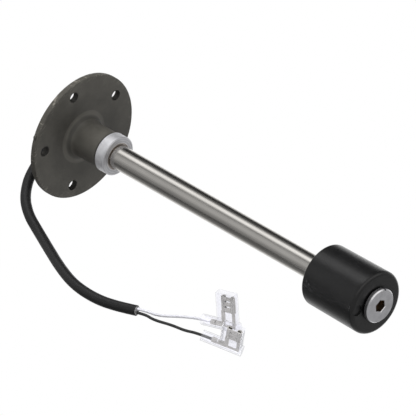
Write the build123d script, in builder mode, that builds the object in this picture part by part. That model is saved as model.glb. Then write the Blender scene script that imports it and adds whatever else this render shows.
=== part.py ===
from build123d import *
import math
import os

os.makedirs("parts", exist_ok=True)

# Fuel level sender, in millimetres, as it hangs in a tank. The origin is the centre of the
# flange's tank-side face. +Z runs out of the tank along the stem, +X points at the bolt hole
# that lies opposite the wide gap, and the cable leaves over that gap, towards -X.

# Clearances
slip_clearance = 0.05  # radial, between turned or moulded pieces that are pushed together
seat_gap = 0.3  # between a piece that moves and what it rests on

# Flange
flange_diameter = 68.0
flange_thickness = 3.2
flange_edge_fillet = 0.6
bolt_circle_diameter = 54.0
bolt_hole_diameter = 5.4
bolt_hole_count = 5
bolt_hole_step = 70.0  # degrees; five holes at this step leave one gap of 80 degrees
gate_nub_angle = -124.6
gate_nub_diameter = 2.6
gate_nub_reach = 0.7
gate_nub_height = 1.4

# Stem tube
tube_diameter = 12.7
tube_wall = 1.0
tube_engagement = 1.0  # above the flange's tank-side face
insertion_depth = 216.0

# Boss on the tank side, with the gland in its end
boss_length = 19.2
boss_wall = 1.95  # round the gland
boss_root_fillet = 4.0
boss_edge_fillet = 0.6
gland_depth = 8.0

# Gland collar
collar_overhang = 0.65  # past the boss
collar_length = 6.3
collar_chamfer = 0.5
collar_groove_width = 0.6
collar_groove_depth = 0.5
spigot_wall = 1.6

# Head on the dry side, with its potting pocket and cable outlet
head_wall = 3.5
head_height = 16.8
head_edge_fillet = 1.5
head_root_fillet = 1.5
pocket_diameter = 17.0
pocket_depth = 13.0
potting_level = 1.0  # below the rim of the pocket
outlet_drop = 6.5  # from the top of the head to the outlet's axis
outlet_wall = 1.5
outlet_stub = 3.0  # past the side of the head

# End plug
plug_head_overhang = 2.9  # past the tube
plug_head_thickness = 2.9
plug_head_chamfer = 0.6
plug_seal_section = 1.4
socket_flats = 6.0
socket_depth = 5.2
socket_chamfer = 0.3
plug_notch_width = 1.2
plug_notch_depth = 0.8
plug_notch_angle = -34.0

# Float
float_length = 36.6
float_top_diameter = 33.4
float_taper = 0.45  # wider at the bottom by this, on each side
float_clearance = 0.6  # radial, round the tube
float_upper_fillet = 1.0
float_lower_fillet = 2.2
float_scoop_diameter = 6.0
float_scoop_depth = 0.8
float_scoop_inset = 4.2  # from the lower rim to the middle of the scoop
float_scoop_angle = -139.0
magnet_width = 3.75
magnet_thickness = 5.0

# Circuit board and what is on it
board_inset = 1.15  # from the tube's bore to the edge of the board
board_thickness = 1.6
board_rise = 4.0  # above the flange's tank-side face
board_slot_clearance = 0.1
passage_clearance = 0.6  # beside the board, where it enters the flange
spacer_thickness = 3.0
spacer_drop = 0.2  # below the flange's tank-side face
spacer_clearance = 0.75  # below the lowest solder joint
sleeve_clearance = 0.25
sleeve_wall = 0.5
reed_margin = 2.05  # between an end of the magnet's travel and the nearest reed switch
reed_least_pitch = 20.0
capsule_diameter = 2.2
capsule_length = 14.0
capsule_end_fillet = 0.66
capsule_standoff = 0.15
reed_lead_diameter = 0.5
reed_lead_reach = 1.6
reed_lead_bend = 0.6
solder_base_diameter = 1.5
solder_height = 0.45
resistor_diameter = 1.7
resistor_waist_diameter = 1.4
resistor_length = 3.6
resistor_cap_length = 0.8
resistor_standoff = 0.1

# Cable and its two cores
cable_diameter = 5.5
core_diameter = 1.5
core_gap = 0.7  # between the cores, where they enter the cable
core_hole_clearance = 0.06
core_hole_depth = 2.1
jacket_insertion = 2.5  # behind the face of the outlet

# Inner leads from the board to the cable
lead_pad_offset = 1.9  # from the stem's axis to the solder pad on either side
lead_overlap = 2.8  # on the face of the board
lead_bend_drop = 3.5  # below the outlet's axis
lead_bend_shift = 2.2

# Strain relief
relief_shank_wall = 1.15
relief_shank_inset = 0.1  # from the pocket's wall back into the outlet
relief_head_thickness = 1.4
relief_lip = 0.6  # from the head down to the root of the tail
relief_taper = 1.0  # from the root of the tail down to its tip
relief_tip_wall = 0.9
relief_tail_length = 4.6
relief_groove_count = 2
relief_groove_width = 0.6
relief_groove_depth = 0.3  # below the tip of the tail

# Flag terminals
terminal_gauge = 0.5
receptacle_width = 8.0
receptacle_thickness = 2.6
receptacle_foot = 7.8  # from the barrel's axis
receptacle_top = 16.3
blade_slot_width = 6.5
blade_slot_height = 0.9
louvre_height = 0.9
louvre_width = 5.0
louvre_offset = 0.6
louvre_insets = (5.5, 2.4)  # from the mouth
neck_width = 2.1
leg_width = 1.6
neck_overlap = 1.0  # of the neck on the end of the crimp
strip_width = 1.4
link_width = 1.2
link_thickness = 0.3
crimp_diameter = 2.6
crimp_length = 4.6
crimp_start = 0.6  # from the end of the core
grip_wall = 0.7
grip_length = 2.6

# Boots over the terminals
boot_wall = 0.7
boot_barrel_clearance = 0.7  # round the grip
boot_box_clearance = 0.3  # round the receptacle
boot_side_room = 1.4  # beside the receptacle, on the core's side
boot_mouth = 8.0  # from the end of the core back to the boot's mouth
boot_toe = 1.6  # of the sleeve past the receptacle
boot_overhang = 2.0  # past the receptacle's mouth
boot_corner = 1.0

# Flange, head and outlet, worked out
flange_top = flange_thickness
head_radius = pocket_diameter / 2 + head_wall
head_top = flange_top + head_height
pocket_floor = head_top - pocket_depth
outlet_level = head_top - outlet_drop
outlet_reach = head_radius + outlet_stub
relief_socket_radius = cable_diameter / 2 + slip_clearance
relief_shank_radius = relief_socket_radius + relief_shank_wall
outlet_bore_radius = relief_shank_radius + slip_clearance
outlet_radius = outlet_bore_radius + outlet_wall

# Tube, gland and boss, worked out
tube_radius = tube_diameter / 2
tube_bore_radius = tube_radius - tube_wall
tube_seat_radius = tube_radius + slip_clearance
spigot_radius = tube_seat_radius + spigot_wall
gland_seal_section = spigot_wall - 2 * slip_clearance
gland_bore_radius = spigot_radius + slip_clearance
boss_radius = gland_bore_radius + boss_wall
boss_end = -boss_length
gland_floor = boss_end + gland_depth
collar_end = boss_end - collar_length

# Plug, float and magnet, worked out
plug_head_radius = tube_radius + plug_head_overhang
plug_head_top = plug_head_thickness - insertion_depth
float_bore_radius = tube_radius + float_clearance
float_bottom_radius = float_top_diameter / 2 + float_taper
float_bottom = plug_head_top + seat_gap
float_top = float_bottom + float_length
float_travel = collar_end - seat_gap - float_top
magnet_bore_radius = float_bore_radius + seat_gap
magnet_radius = magnet_bore_radius + magnet_width
magnet_bottom = float_bottom + (float_length - magnet_thickness) / 2

# Reed switches, spread evenly over the magnet's travel, and what lies below them
reed_lowest = float_bottom + float_length / 2 + reed_margin
reed_span = float_travel - 2 * reed_margin
reed_gaps = int(reed_span // reed_least_pitch)
reed_pitch = reed_span / reed_gaps
reed_levels = [reed_lowest + number * reed_pitch for number in range(reed_gaps + 1)]
lead_tip = capsule_length / 2 + reed_lead_reach
lowest_solder = reed_lowest - lead_tip - solder_base_diameter / 2
lower_spacer_bottom = lowest_solder - spacer_clearance - spacer_thickness
upper_spacer_bottom = -spacer_drop - spacer_thickness
plug_shank_top = lower_spacer_bottom

# Board and cable, worked out
board_width = 2 * (tube_bore_radius - board_inset)
board_face = board_thickness / 2
core_radius = core_diameter / 2
core_hole_radius = (core_diameter + core_hole_clearance) / 2
core_offset = (core_diameter + core_gap) / 2
cable_start = outlet_reach - jacket_insertion

# Cable route, from inside the strain relief, out over the rim and down beside the stem
cable_route = [
    (-cable_start, 0, outlet_level),
    (-28.0, 0, outlet_level),
    (-41.5, -1.0, 6.5),
    (-49.5, -1.5, -3.5),
    (-55.0, -1.5, -16.5),
    (-61.0, -6.0, -32.0),
    (-67.5, -12.0, -49.5),
    (-72.5, -17.0, -66.5),
    (-74.0, -19.5, -83.0),
    (-72.5, -20.0, -97.5),
    (-68.5, -19.0, -110.5),
]
white_wire_route = [
    (-68.3, -19.6, -108.4),
    (-66.2, -19.1, -115.1),
    (-65.0, -17.8, -122.5),
    (-58.6, -14.6, -131.8),
    (-54.0, -12.1, -140.6),
    (-51.8, -11.8, -149.3),
]
black_wire_route = [
    (-69.9, -18.7, -108.8),
    (-67.8, -18.2, -115.5),
    (-68.7, -20.7, -124.0),
    (-66.5, -21.5, -135.5),
    (-66.5, -25.5, -147.5),
    (-65.4, -30.4, -158.7),
    (-62.9, -25.8, -167.7),
]
white_receptacle_direction = (0.579, -0.807, 0.121)
black_receptacle_direction = (0.307, -0.880, -0.362)


def route_start(points):
    """Plane square to the first run of a route, at its first point."""
    return Plane(origin=points[0], z_dir=Vector(*points[1]) - Vector(*points[0]))


def bend_radii(points):
    """Largest even arc at each corner of a route, with some straight run left beside it."""
    radii = []
    for before, corner, after in zip(points, points[1:], points[2:]):
        run_in = Vector(*corner) - Vector(*before)
        run_out = Vector(*after) - Vector(*corner)
        half_turn = math.radians(run_in.get_angle(run_out) / 2)
        radii.append(0.45 * min(run_in.length, run_out.length) / math.tan(half_turn))
    return radii


def circles_at(part, level, radius):
    """Circular edges of one radius that lie at one level."""
    return [
        edge
        for edge in part.edges().filter_by(GeomType.CIRCLE)
        if abs(edge.center().Z - level) < 0.01 and abs(edge.radius - radius) < 0.01
    ]


def round_tube(name, points, diameter, radii=None):
    """A round solid along straight runs joined by tangent arcs."""
    radii = radii or bend_radii(points)
    with BuildPart() as tube:
        with BuildLine() as path:
            FilletPolyline(*points, radius=radii)
        with BuildSketch(route_start(points)):
            Circle(diameter / 2)
        sweep()
    length = sum(edge.length for edge in path.edges())
    section_times_length = math.pi * diameter**2 / 4 * length
    print(name, "length", round(length, 1), "radii", [round(radius, 1) for radius in radii])
    print(name, "volume", round(tube.part.volume, 1), "of", round(section_times_length, 1))
    return tube


def ring_seal(inner_radius, section, level):
    """A round-section seal ring about the stem's axis."""
    with BuildPart() as seal:
        with BuildSketch(Plane.XZ):
            with Locations((inner_radius + section / 2, level)):
                Circle(section / 2)
        revolve(axis=Axis.Z)
    return seal


def terminal_frame(route, up):
    """Frame at the end of a core: X along the core, Y towards the receptacle's mouth."""
    along = (Vector(*route[-1]) - Vector(*route[-2])).normalized()
    upward = Vector(*up)
    upward = (upward - along * upward.dot(along)).normalized()
    return Plane(origin=route[-1], x_dir=along, z_dir=along.cross(upward))


def across_barrel(frame, distance):
    """Plane square to the barrel, its X towards the receptacle's mouth."""
    origin = frame.from_local_coords((distance, 0, 0))
    return Plane(origin=origin, x_dir=frame.y_dir, z_dir=frame.x_dir)


def across_receptacle(frame, level):
    """Plane square to the receptacle, its X through the sheet and its Y along the barrel."""
    origin = frame.from_local_coords((0, level, 0))
    return Plane(origin=origin, x_dir=frame.z_dir, z_dir=frame.y_dir)


def flag_terminal(frame):
    """Sheet-metal receptacle at right angles to the crimp barrel that holds the core."""
    receptacle_start = crimp_start + crimp_length - neck_overlap
    middle = receptacle_start + receptacle_width / 2
    curl_radius = receptacle_thickness / 2
    curl_offset = receptacle_width / 2 - curl_radius
    floor_face = blade_slot_height / 2
    sheet_middle = floor_face + terminal_gauge / 2
    barrel_end = receptacle_start + receptacle_width
    with BuildPart() as terminal:
        # Receptacle: a flat floor and two curled sides round the slot for the blade
        with BuildSketch(across_receptacle(frame, receptacle_foot)):
            with Locations((sheet_middle, middle)):
                Rectangle(terminal_gauge, receptacle_width - 2 * curl_radius)
            with Locations((0, middle - curl_offset), (0, middle + curl_offset)):
                Circle(curl_radius)
            with Locations((0, middle)):
                Rectangle(blade_slot_height, blade_slot_width, mode=Mode.SUBTRACT)
        extrude(amount=receptacle_top - receptacle_foot)
        # Louvres stamped in the floor
        with BuildSketch(frame.offset(floor_face)):
            for inset in louvre_insets:
                with Locations((middle + louvre_offset, receptacle_top - inset)):
                    Rectangle(louvre_width, louvre_height)
        extrude(amount=terminal_gauge, mode=Mode.SUBTRACT)
        # Neck, leg and carrier strip in the plane of the floor
        with BuildSketch(frame.offset(floor_face)):
            with Locations((receptacle_start + neck_width / 2, receptacle_foot / 2)):
                Rectangle(neck_width, receptacle_foot + 2 * terminal_gauge)
            with Locations((barrel_end - leg_width / 2, receptacle_foot / 2)):
                Rectangle(leg_width, receptacle_foot + 2 * terminal_gauge)
            with Locations(((crimp_start + barrel_end) / 2, 0)):
                Rectangle(barrel_end - crimp_start, strip_width)
        extrude(amount=terminal_gauge)
        # Crimp on the strands, grip on the insulation, and the link that joins them
        with BuildSketch(across_barrel(frame, crimp_start)):
            Circle(crimp_diameter / 2)
        extrude(amount=crimp_length)
        with BuildSketch(across_barrel(frame, -grip_length)):
            Circle(core_radius + grip_wall)
            Circle(core_hole_radius, mode=Mode.SUBTRACT)
        extrude(amount=grip_length)
        with BuildSketch(across_barrel(frame, -grip_length / 2)):
            with Locations((0, core_hole_radius + slip_clearance + link_thickness / 2)):
                Rectangle(link_width, link_thickness)
        extrude(amount=grip_length / 2 + crimp_start + terminal_gauge)
    return terminal


def terminal_boot(frame):
    """Soft cover: a sleeve over the barrel, and a flat box open at the receptacle's mouth."""
    receptacle_start = crimp_start + crimp_length - neck_overlap
    middle = receptacle_start + (receptacle_width - boot_side_room) / 2
    box_width = receptacle_width + boot_side_room + 2 * (boot_box_clearance + boot_wall)
    box_thickness = receptacle_thickness + 2 * (boot_box_clearance + boot_wall)
    height = receptacle_top + boot_overhang
    barrel_radius = core_radius + grip_wall + boot_barrel_clearance + boot_wall
    sleeve_length = boot_mouth + receptacle_start + receptacle_width + boot_toe
    with BuildPart() as boot:
        with BuildSketch(across_barrel(frame, -boot_mouth)):
            Circle(barrel_radius)
        extrude(amount=sleeve_length)
        with BuildSketch(across_receptacle(frame, 0)):
            with Locations((0, middle)):
                RectangleRounded(box_thickness, box_width, boot_corner)
        extrude(amount=height)
        with BuildSketch(across_barrel(frame, -boot_mouth)):
            Circle(barrel_radius - boot_wall)
        extrude(amount=sleeve_length - boot_wall, mode=Mode.SUBTRACT)
        with BuildSketch(across_receptacle(frame, 0)):
            with Locations((0, middle)):
                Rectangle(box_thickness - 2 * boot_wall, box_width - 2 * boot_wall)
        extrude(amount=height, mode=Mode.SUBTRACT)
    return boot


def board_spacer(bottom):
    """Disc that fits the tube's bore, with a slot for the board."""
    with BuildPart() as spacer:
        with BuildSketch(Plane.XY.offset(bottom)):
            Circle(tube_bore_radius - slip_clearance)
            Rectangle(
                board_width + 2 * board_slot_clearance,
                board_thickness + 2 * board_slot_clearance,
                mode=Mode.SUBTRACT,
            )
        extrude(amount=spacer_thickness)
    return spacer


def inner_lead_route(side):
    """Points of one inner lead, from its pad up past the board's end and out to the cable."""
    lead_face = board_face + slip_clearance + core_radius
    return [
        (side * lead_pad_offset, lead_face, board_rise - lead_overlap),
        (side * lead_pad_offset, lead_face, outlet_level - lead_bend_drop),
        (side * lead_pad_offset - lead_bend_shift, -side * core_offset, outlet_level),
        (slip_clearance - cable_start, -side * core_offset, outlet_level),
    ]


# Flange: disc, boss, head and outlet in one moulding
with BuildPart() as flange:
    with BuildSketch():
        Circle(flange_diameter / 2)
    extrude(amount=flange_thickness)
    fillet(flange.edges().filter_by(GeomType.CIRCLE), flange_edge_fillet)
    # Boss with its root fillet
    with BuildSketch(Plane.XY):
        Circle(boss_radius)
    extrude(amount=-boss_length)
    fillet(circles_at(flange, 0, boss_radius), boss_root_fillet)
    fillet(flange.faces().sort_by(Axis.Z)[0].edges(), boss_edge_fillet)
    # Head on the dry side
    with BuildSketch(Plane.XY.offset(flange_top)):
        Circle(head_radius)
    extrude(amount=head_height)
    fillet(circles_at(flange, flange_top, head_radius), head_root_fillet)
    with BuildSketch(Plane.YZ.offset(-outlet_reach)):
        with Locations((0, outlet_level)):
            Circle(outlet_radius)
    extrude(amount=outlet_reach)
    fillet(flange.faces().sort_by(Axis.Z)[-1].edges(), head_edge_fillet)
    # Potting pocket, cable outlet and passage for the leads
    with BuildSketch(Plane.XY.offset(pocket_floor)):
        Circle(pocket_diameter / 2)
    extrude(amount=pocket_depth, mode=Mode.SUBTRACT)
    with BuildSketch(Plane.YZ.offset(-outlet_reach)):
        with Locations((0, outlet_level)):
            Circle(outlet_bore_radius)
    extrude(amount=outlet_reach, mode=Mode.SUBTRACT)
    with BuildSketch(Plane.XY.offset(tube_engagement)):
        Circle(board_width / 2 + passage_clearance)
    extrude(amount=pocket_floor - tube_engagement, mode=Mode.SUBTRACT)
    # Seat of the tube and the wider seat of the gland collar
    with BuildSketch(Plane.XY.offset(boss_end)):
        Circle(tube_seat_radius)
    extrude(amount=boss_length + tube_engagement, mode=Mode.SUBTRACT)
    with BuildSketch(Plane.XY.offset(boss_end)):
        Circle(gland_bore_radius)
    extrude(amount=gland_depth, mode=Mode.SUBTRACT)
    # Bolt holes, uneven on their circle so that the flange fits one way round
    with BuildSketch():
        with PolarLocations(
            bolt_circle_diameter / 2,
            bolt_hole_count,
            start_angle=-bolt_hole_step * (bolt_hole_count - 1) / 2,
            angular_range=bolt_hole_step * (bolt_hole_count - 1),
            endpoint=True,
        ):
            Circle(bolt_hole_diameter / 2)
    extrude(amount=flange_thickness, mode=Mode.SUBTRACT)
    # Nub left by the moulding gate on the rim
    with BuildSketch(Plane.XY.offset(flange_top - flange_edge_fillet - gate_nub_height)):
        with PolarLocations(
            flange_diameter / 2 + gate_nub_reach - gate_nub_diameter / 2,
            1,
            start_angle=gate_nub_angle,
        ):
            Circle(gate_nub_diameter / 2)
    extrude(amount=gate_nub_height)
flange.part.label = "flange"
export_step(flange.part, "parts/flange.step")

# Gland collar: ring below the boss, with a spigot that holds the seal in the boss
with BuildPart() as gland_collar:
    with BuildSketch(Plane.XY.offset(collar_end)):
        Circle(boss_radius + collar_overhang)
    extrude(amount=collar_length)
    chamfer(gland_collar.edges().filter_by(GeomType.CIRCLE), collar_chamfer)
    with BuildSketch(Plane.XY.offset(boss_end)):
        Circle(spigot_radius)
    extrude(amount=gland_depth - gland_seal_section - 2 * slip_clearance)
    with BuildSketch(Plane.XY.offset(collar_end)):
        Circle(tube_seat_radius)
    extrude(amount=collar_length + gland_depth, mode=Mode.SUBTRACT)
    # Relief turned in the lower face, round the tube
    with BuildSketch(Plane.XY.offset(collar_end)):
        Circle(tube_seat_radius + collar_groove_width)
    extrude(amount=collar_groove_depth, mode=Mode.SUBTRACT)
gland_collar.part.label = "gland_collar"
export_step(gland_collar.part, "parts/gland_collar.step")

# Seal ring between the collar's spigot and the boss
tube_seal = ring_seal(
    tube_seat_radius,
    gland_seal_section,
    gland_floor - slip_clearance - gland_seal_section / 2,
)
tube_seal.part.label = "tube_seal"
export_step(tube_seal.part, "parts/tube_seal.step")

# Stem tube, from its seat in the flange down to the plug's head
with BuildPart() as stem_tube:
    with BuildSketch(Plane.XY.offset(plug_head_top)):
        Circle(tube_radius)
        Circle(tube_bore_radius, mode=Mode.SUBTRACT)
    extrude(amount=tube_engagement - plug_head_top)
stem_tube.part.label = "stem_tube"
export_step(stem_tube.part, "parts/stem_tube.step")

# End plug: the disc head stops the float, and the shank closes the tube
plug_groove_width = plug_seal_section + 2 * slip_clearance
plug_groove_radius = tube_bore_radius - plug_seal_section - 2 * slip_clearance
plug_seal_level = (plug_head_top + plug_shank_top) / 2
with BuildPart() as end_plug:
    with BuildSketch(Plane.XY.offset(-insertion_depth)):
        Circle(plug_head_radius)
    extrude(amount=plug_head_thickness)
    chamfer(end_plug.edges().filter_by(GeomType.CIRCLE), plug_head_chamfer)
    with BuildSketch(Plane.XY.offset(plug_head_top)):
        Circle(tube_bore_radius - slip_clearance)
    extrude(amount=plug_shank_top - plug_head_top)
    with BuildSketch(Plane.XY.offset(plug_seal_level - plug_groove_width / 2)):
        Circle(tube_bore_radius)
        Circle(plug_groove_radius, mode=Mode.SUBTRACT)
    extrude(amount=plug_groove_width, mode=Mode.SUBTRACT)
    # Hexagon socket with a chamfered mouth, and a notch in the rim
    with BuildSketch(Plane.XY.offset(-insertion_depth)):
        RegularPolygon(socket_flats / 2, 6, major_radius=False)
    extrude(amount=socket_depth, mode=Mode.SUBTRACT)
    chamfer(end_plug.edges().filter_by(GeomType.LINE).group_by(Axis.Z)[0], socket_chamfer)
    with BuildSketch(Plane.XY.offset(-insertion_depth)):
        with PolarLocations(plug_head_radius, 1, start_angle=plug_notch_angle):
            Rectangle(2 * plug_notch_depth, plug_notch_width)
    extrude(amount=plug_head_thickness, mode=Mode.SUBTRACT)
end_plug.part.label = "end_plug"
export_step(end_plug.part, "parts/end_plug.step")

# Seal ring in the plug's groove
plug_seal = ring_seal(
    tube_bore_radius - plug_seal_section - slip_clearance,
    plug_seal_section,
    plug_seal_level,
)
plug_seal.part.label = "plug_seal"
export_step(plug_seal.part, "parts/plug_seal.step")

# Ring magnet, halfway up the float
with BuildPart() as float_magnet:
    with BuildSketch(Plane.XY.offset(magnet_bottom)):
        Circle(magnet_radius)
        Circle(magnet_bore_radius, mode=Mode.SUBTRACT)
    extrude(amount=magnet_thickness)
float_magnet.part.label = "float_magnet"
export_step(float_magnet.part, "parts/float_magnet.step")

# Float: slightly tapered body with a through bore and a groove for the magnet
magnet_groove_radius = magnet_radius + seat_gap
magnet_groove_bottom = magnet_bottom - seat_gap
magnet_groove_top = magnet_bottom + magnet_thickness + seat_gap
with BuildPart() as float_body:
    with BuildSketch(Plane.XZ) as float_section:
        with BuildLine():
            Polyline(
                (float_bore_radius, float_bottom),
                (float_bottom_radius, float_bottom),
                (float_top_diameter / 2, float_top),
                (float_bore_radius, float_top),
                (float_bore_radius, magnet_groove_top),
                (magnet_groove_radius, magnet_groove_top),
                (magnet_groove_radius, magnet_groove_bottom),
                (float_bore_radius, magnet_groove_bottom),
                close=True,
            )
        make_face()
        fillet(float_section.vertices().sort_by(Axis.X)[-1], float_lower_fillet)
        fillet(float_section.vertices().sort_by(Axis.X)[-2], float_upper_fillet)
    revolve(axis=Axis.Z)
    # Scoop left by the mould in the lower end
    with BuildSketch(Plane.XY.offset(float_bottom)):
        with PolarLocations(float_bottom_radius - float_scoop_inset, 1, start_angle=float_scoop_angle):
            Circle(float_scoop_diameter / 2)
    extrude(amount=float_scoop_depth, mode=Mode.SUBTRACT)
float_body.part.label = "float_body"
export_step(float_body.part, "parts/float_body.step")

# Circuit board, on edge along the stem
board_bottom = plug_shank_top + board_slot_clearance
with BuildPart() as circuit_board:
    with BuildSketch(Plane.XY.offset(board_bottom)):
        Rectangle(board_width, board_thickness)
    extrude(amount=board_rise - board_bottom)
circuit_board.part.label = "circuit_board"
export_step(circuit_board.part, "parts/circuit_board.step")

# Spacers that centre the board in the tube
upper_spacer = board_spacer(upper_spacer_bottom)
upper_spacer.part.label = "upper_spacer"
export_step(upper_spacer.part, "parts/upper_spacer.step")
lower_spacer = board_spacer(lower_spacer_bottom)
lower_spacer.part.label = "lower_spacer"
export_step(lower_spacer.part, "parts/lower_spacer.step")

# Insulating sleeve between the spacers
sleeve_bottom = lower_spacer_bottom + spacer_thickness + seat_gap
sleeve_top = upper_spacer_bottom - seat_gap
with BuildPart() as insulating_sleeve:
    with BuildSketch(Plane.XY.offset(sleeve_bottom)):
        Circle(tube_bore_radius - sleeve_clearance)
        Circle(tube_bore_radius - sleeve_clearance - sleeve_wall, mode=Mode.SUBTRACT)
    extrude(amount=sleeve_top - sleeve_bottom)
insulating_sleeve.part.label = "insulating_sleeve"
export_step(insulating_sleeve.part, "parts/insulating_sleeve.step")

# Glass capsules of the reed switches, on the front of the board
capsule_radius = capsule_diameter / 2
capsule_axis = board_face + capsule_standoff + capsule_radius
with BuildPart() as capsule:
    with BuildSketch(Plane.XY.offset(-capsule_length / 2)):
        Circle(capsule_radius)
    extrude(amount=capsule_length)
    fillet(capsule.edges().filter_by(GeomType.CIRCLE), capsule_end_fillet)
with BuildPart() as reed_capsules:
    with Locations(*[(0, capsule_axis, level) for level in reed_levels]):
        add(capsule.part)
reed_capsules.part.label = "reed_capsules"
export_step(reed_capsules.part, "parts/reed_capsules.step")

# Bent leads from each end of a capsule down to the board
lead_path = [
    (0, capsule_axis, capsule_length / 2),
    (0, capsule_axis, lead_tip),
    (0, board_face, lead_tip),
]
upper_lead = round_tube("reed lead", lead_path, reed_lead_diameter, [reed_lead_bend])
with BuildPart() as lead_pair:
    add(upper_lead.part)
    mirror(about=Plane.XY)
with BuildPart() as reed_leads:
    with Locations(*[(0, 0, level) for level in reed_levels]):
        add(lead_pair.part)
reed_leads.part.label = "reed_leads"
export_step(reed_leads.part, "parts/reed_leads.step")

# Solder joints round the ends of the leads
with BuildPart() as solder_joints:
    with BuildSketch(Plane.XZ.offset(-board_face)):
        with Locations(*[(0, level + side * lead_tip) for level in reed_levels for side in (-1, 1)]):
            Circle(solder_base_diameter / 2)
            Circle(reed_lead_diameter / 2 + slip_clearance, mode=Mode.SUBTRACT)
    extrude(amount=-solder_height)
solder_joints.part.label = "solder_joints"
export_step(solder_joints.part, "parts/solder_joints.step")

# Resistor chain on the back of the board, one between each two reed switches
resistor_axis = -board_face - resistor_standoff - resistor_diameter / 2
resistor_levels = [level + reed_pitch / 2 for level in reed_levels[:-1]]
with BuildPart() as resistor:
    with BuildSketch(Plane.XY.offset(-resistor_length / 2)):
        Circle(resistor_diameter / 2)
    extrude(amount=resistor_length)
    with BuildSketch(Plane.XY.offset(resistor_cap_length - resistor_length / 2)):
        Circle(resistor_diameter / 2)
        Circle(resistor_waist_diameter / 2, mode=Mode.SUBTRACT)
    extrude(amount=resistor_length - 2 * resistor_cap_length, mode=Mode.SUBTRACT)
with BuildPart() as resistors:
    with Locations(*[(0, resistor_axis, level) for level in resistor_levels]):
        add(resistor.part)
resistors.part.label = "resistors"
export_step(resistors.part, "parts/resistors.step")

# Inner leads, from pads on the board's end up and out to the cable
inner_lead_white = round_tube("inner lead white", inner_lead_route(-1), core_diameter)
inner_lead_white.part.label = "inner_lead_white"
export_step(inner_lead_white.part, "parts/inner_lead_white.step")
inner_lead_black = round_tube("inner lead black", inner_lead_route(1), core_diameter)
inner_lead_black.part.label = "inner_lead_black"
export_step(inner_lead_black.part, "parts/inner_lead_black.step")

# Strain relief: rubber grommet in the outlet, with a short tapered tail
relief_inner_end = pocket_diameter / 2 + relief_shank_inset
relief_head_end = outlet_reach + relief_head_thickness
relief_tail_end = relief_head_end + relief_tail_length
relief_tip_radius = relief_socket_radius + relief_tip_wall
relief_root_radius = relief_tip_radius + relief_taper
relief_head_radius = relief_root_radius + relief_lip
relief_groove_step = relief_tail_length / (relief_groove_count + 1)
with BuildPart() as strain_relief:
    with BuildSketch(Plane.XZ):
        with BuildLine():
            Polyline(
                (-relief_inner_end, outlet_level),
                (-relief_inner_end, outlet_level + relief_shank_radius),
                (-outlet_reach, outlet_level + relief_shank_radius),
                (-outlet_reach, outlet_level + relief_head_radius),
                (-relief_head_end, outlet_level + relief_head_radius),
                (-relief_head_end, outlet_level + relief_root_radius),
                (-relief_tail_end, outlet_level + relief_tip_radius),
                (-relief_tail_end, outlet_level),
                close=True,
            )
        make_face()
    revolve(axis=Axis((0, 0, outlet_level), (1, 0, 0)))
    # Socket for the jacket, and a hole for each core
    with BuildSketch(Plane.YZ.offset(-relief_tail_end)):
        with Locations((0, outlet_level)):
            Circle(relief_socket_radius)
    extrude(amount=relief_tail_end - cable_start, mode=Mode.SUBTRACT)
    with BuildSketch(Plane.YZ.offset(-cable_start)):
        with Locations((-core_offset, outlet_level), (core_offset, outlet_level)):
            Circle(core_hole_radius)
    extrude(amount=cable_start - relief_inner_end, mode=Mode.SUBTRACT)
    # Grooves round the tail that let it bend
    for number in range(relief_groove_count):
        groove_end = relief_head_end + relief_groove_step * (number + 1)
        with BuildSketch(Plane.YZ.offset(-groove_end)):
            with Locations((0, outlet_level)):
                Circle(relief_head_radius)
                Circle(relief_tip_radius - relief_groove_depth, mode=Mode.SUBTRACT)
        extrude(amount=relief_groove_width, mode=Mode.SUBTRACT)
strain_relief.part.label = "strain_relief"
export_step(strain_relief.part, "parts/strain_relief.step")

# Potting in the head's pocket, round the leads
with BuildPart() as potting:
    with BuildSketch(Plane.XY.offset(pocket_floor)):
        Circle(pocket_diameter / 2)
    extrude(amount=pocket_depth - potting_level)
    with BuildSketch(Plane.YZ.offset(-relief_inner_end)):
        with Locations((0, outlet_level)):
            Circle(outlet_bore_radius)
    extrude(amount=relief_inner_end)
    add(inner_lead_white.part, mode=Mode.SUBTRACT)
    add(inner_lead_black.part, mode=Mode.SUBTRACT)
potting.part.label = "potting"
export_step(potting.part, "parts/potting.step")

# Cable jacket, with a hole for each core in its far end; each cut runs out past the end
jacket_tube = round_tube("cable jacket", cable_route, cable_diameter)
with BuildPart() as cable_jacket:
    add(jacket_tube.part)
    for route in (white_wire_route, black_wire_route):
        with BuildSketch(route_start(route).offset(-slip_clearance)):
            Circle(core_hole_radius)
        extrude(amount=2 * core_hole_depth, mode=Mode.SUBTRACT)
cable_jacket.part.label = "cable_jacket"
export_step(cable_jacket.part, "parts/cable_jacket.step")

# Cores past the end of the jacket
white_wire = round_tube("white wire", white_wire_route, core_diameter)
white_wire.part.label = "white_wire"
export_step(white_wire.part, "parts/white_wire.step")
black_wire = round_tube("black wire", black_wire_route, core_diameter)
black_wire.part.label = "black_wire"
export_step(black_wire.part, "parts/black_wire.step")

# Terminals and their boots
white_frame = terminal_frame(white_wire_route, white_receptacle_direction)
white_terminal = flag_terminal(white_frame)
white_terminal.part.label = "white_terminal"
export_step(white_terminal.part, "parts/white_terminal.step")
white_boot = terminal_boot(white_frame)
white_boot.part.label = "white_boot"
export_step(white_boot.part, "parts/white_boot.step")
black_frame = terminal_frame(black_wire_route, black_receptacle_direction)
black_terminal = flag_terminal(black_frame)
black_terminal.part.label = "black_terminal"
export_step(black_terminal.part, "parts/black_terminal.step")
black_boot = terminal_boot(black_frame)
black_boot.part.label = "black_boot"
export_step(black_boot.part, "parts/black_boot.step")

print("float travel", round(float_travel, 2), "float at rest", float_bottom, "to", float_top)
print("reed switches", len(reed_levels), "at a pitch of", round(reed_pitch, 2))
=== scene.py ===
import math

import bmesh
import bpy
from bpy.props import FloatProperty, FloatVectorProperty, PointerProperty
from mathutils import Matrix, Vector


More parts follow.
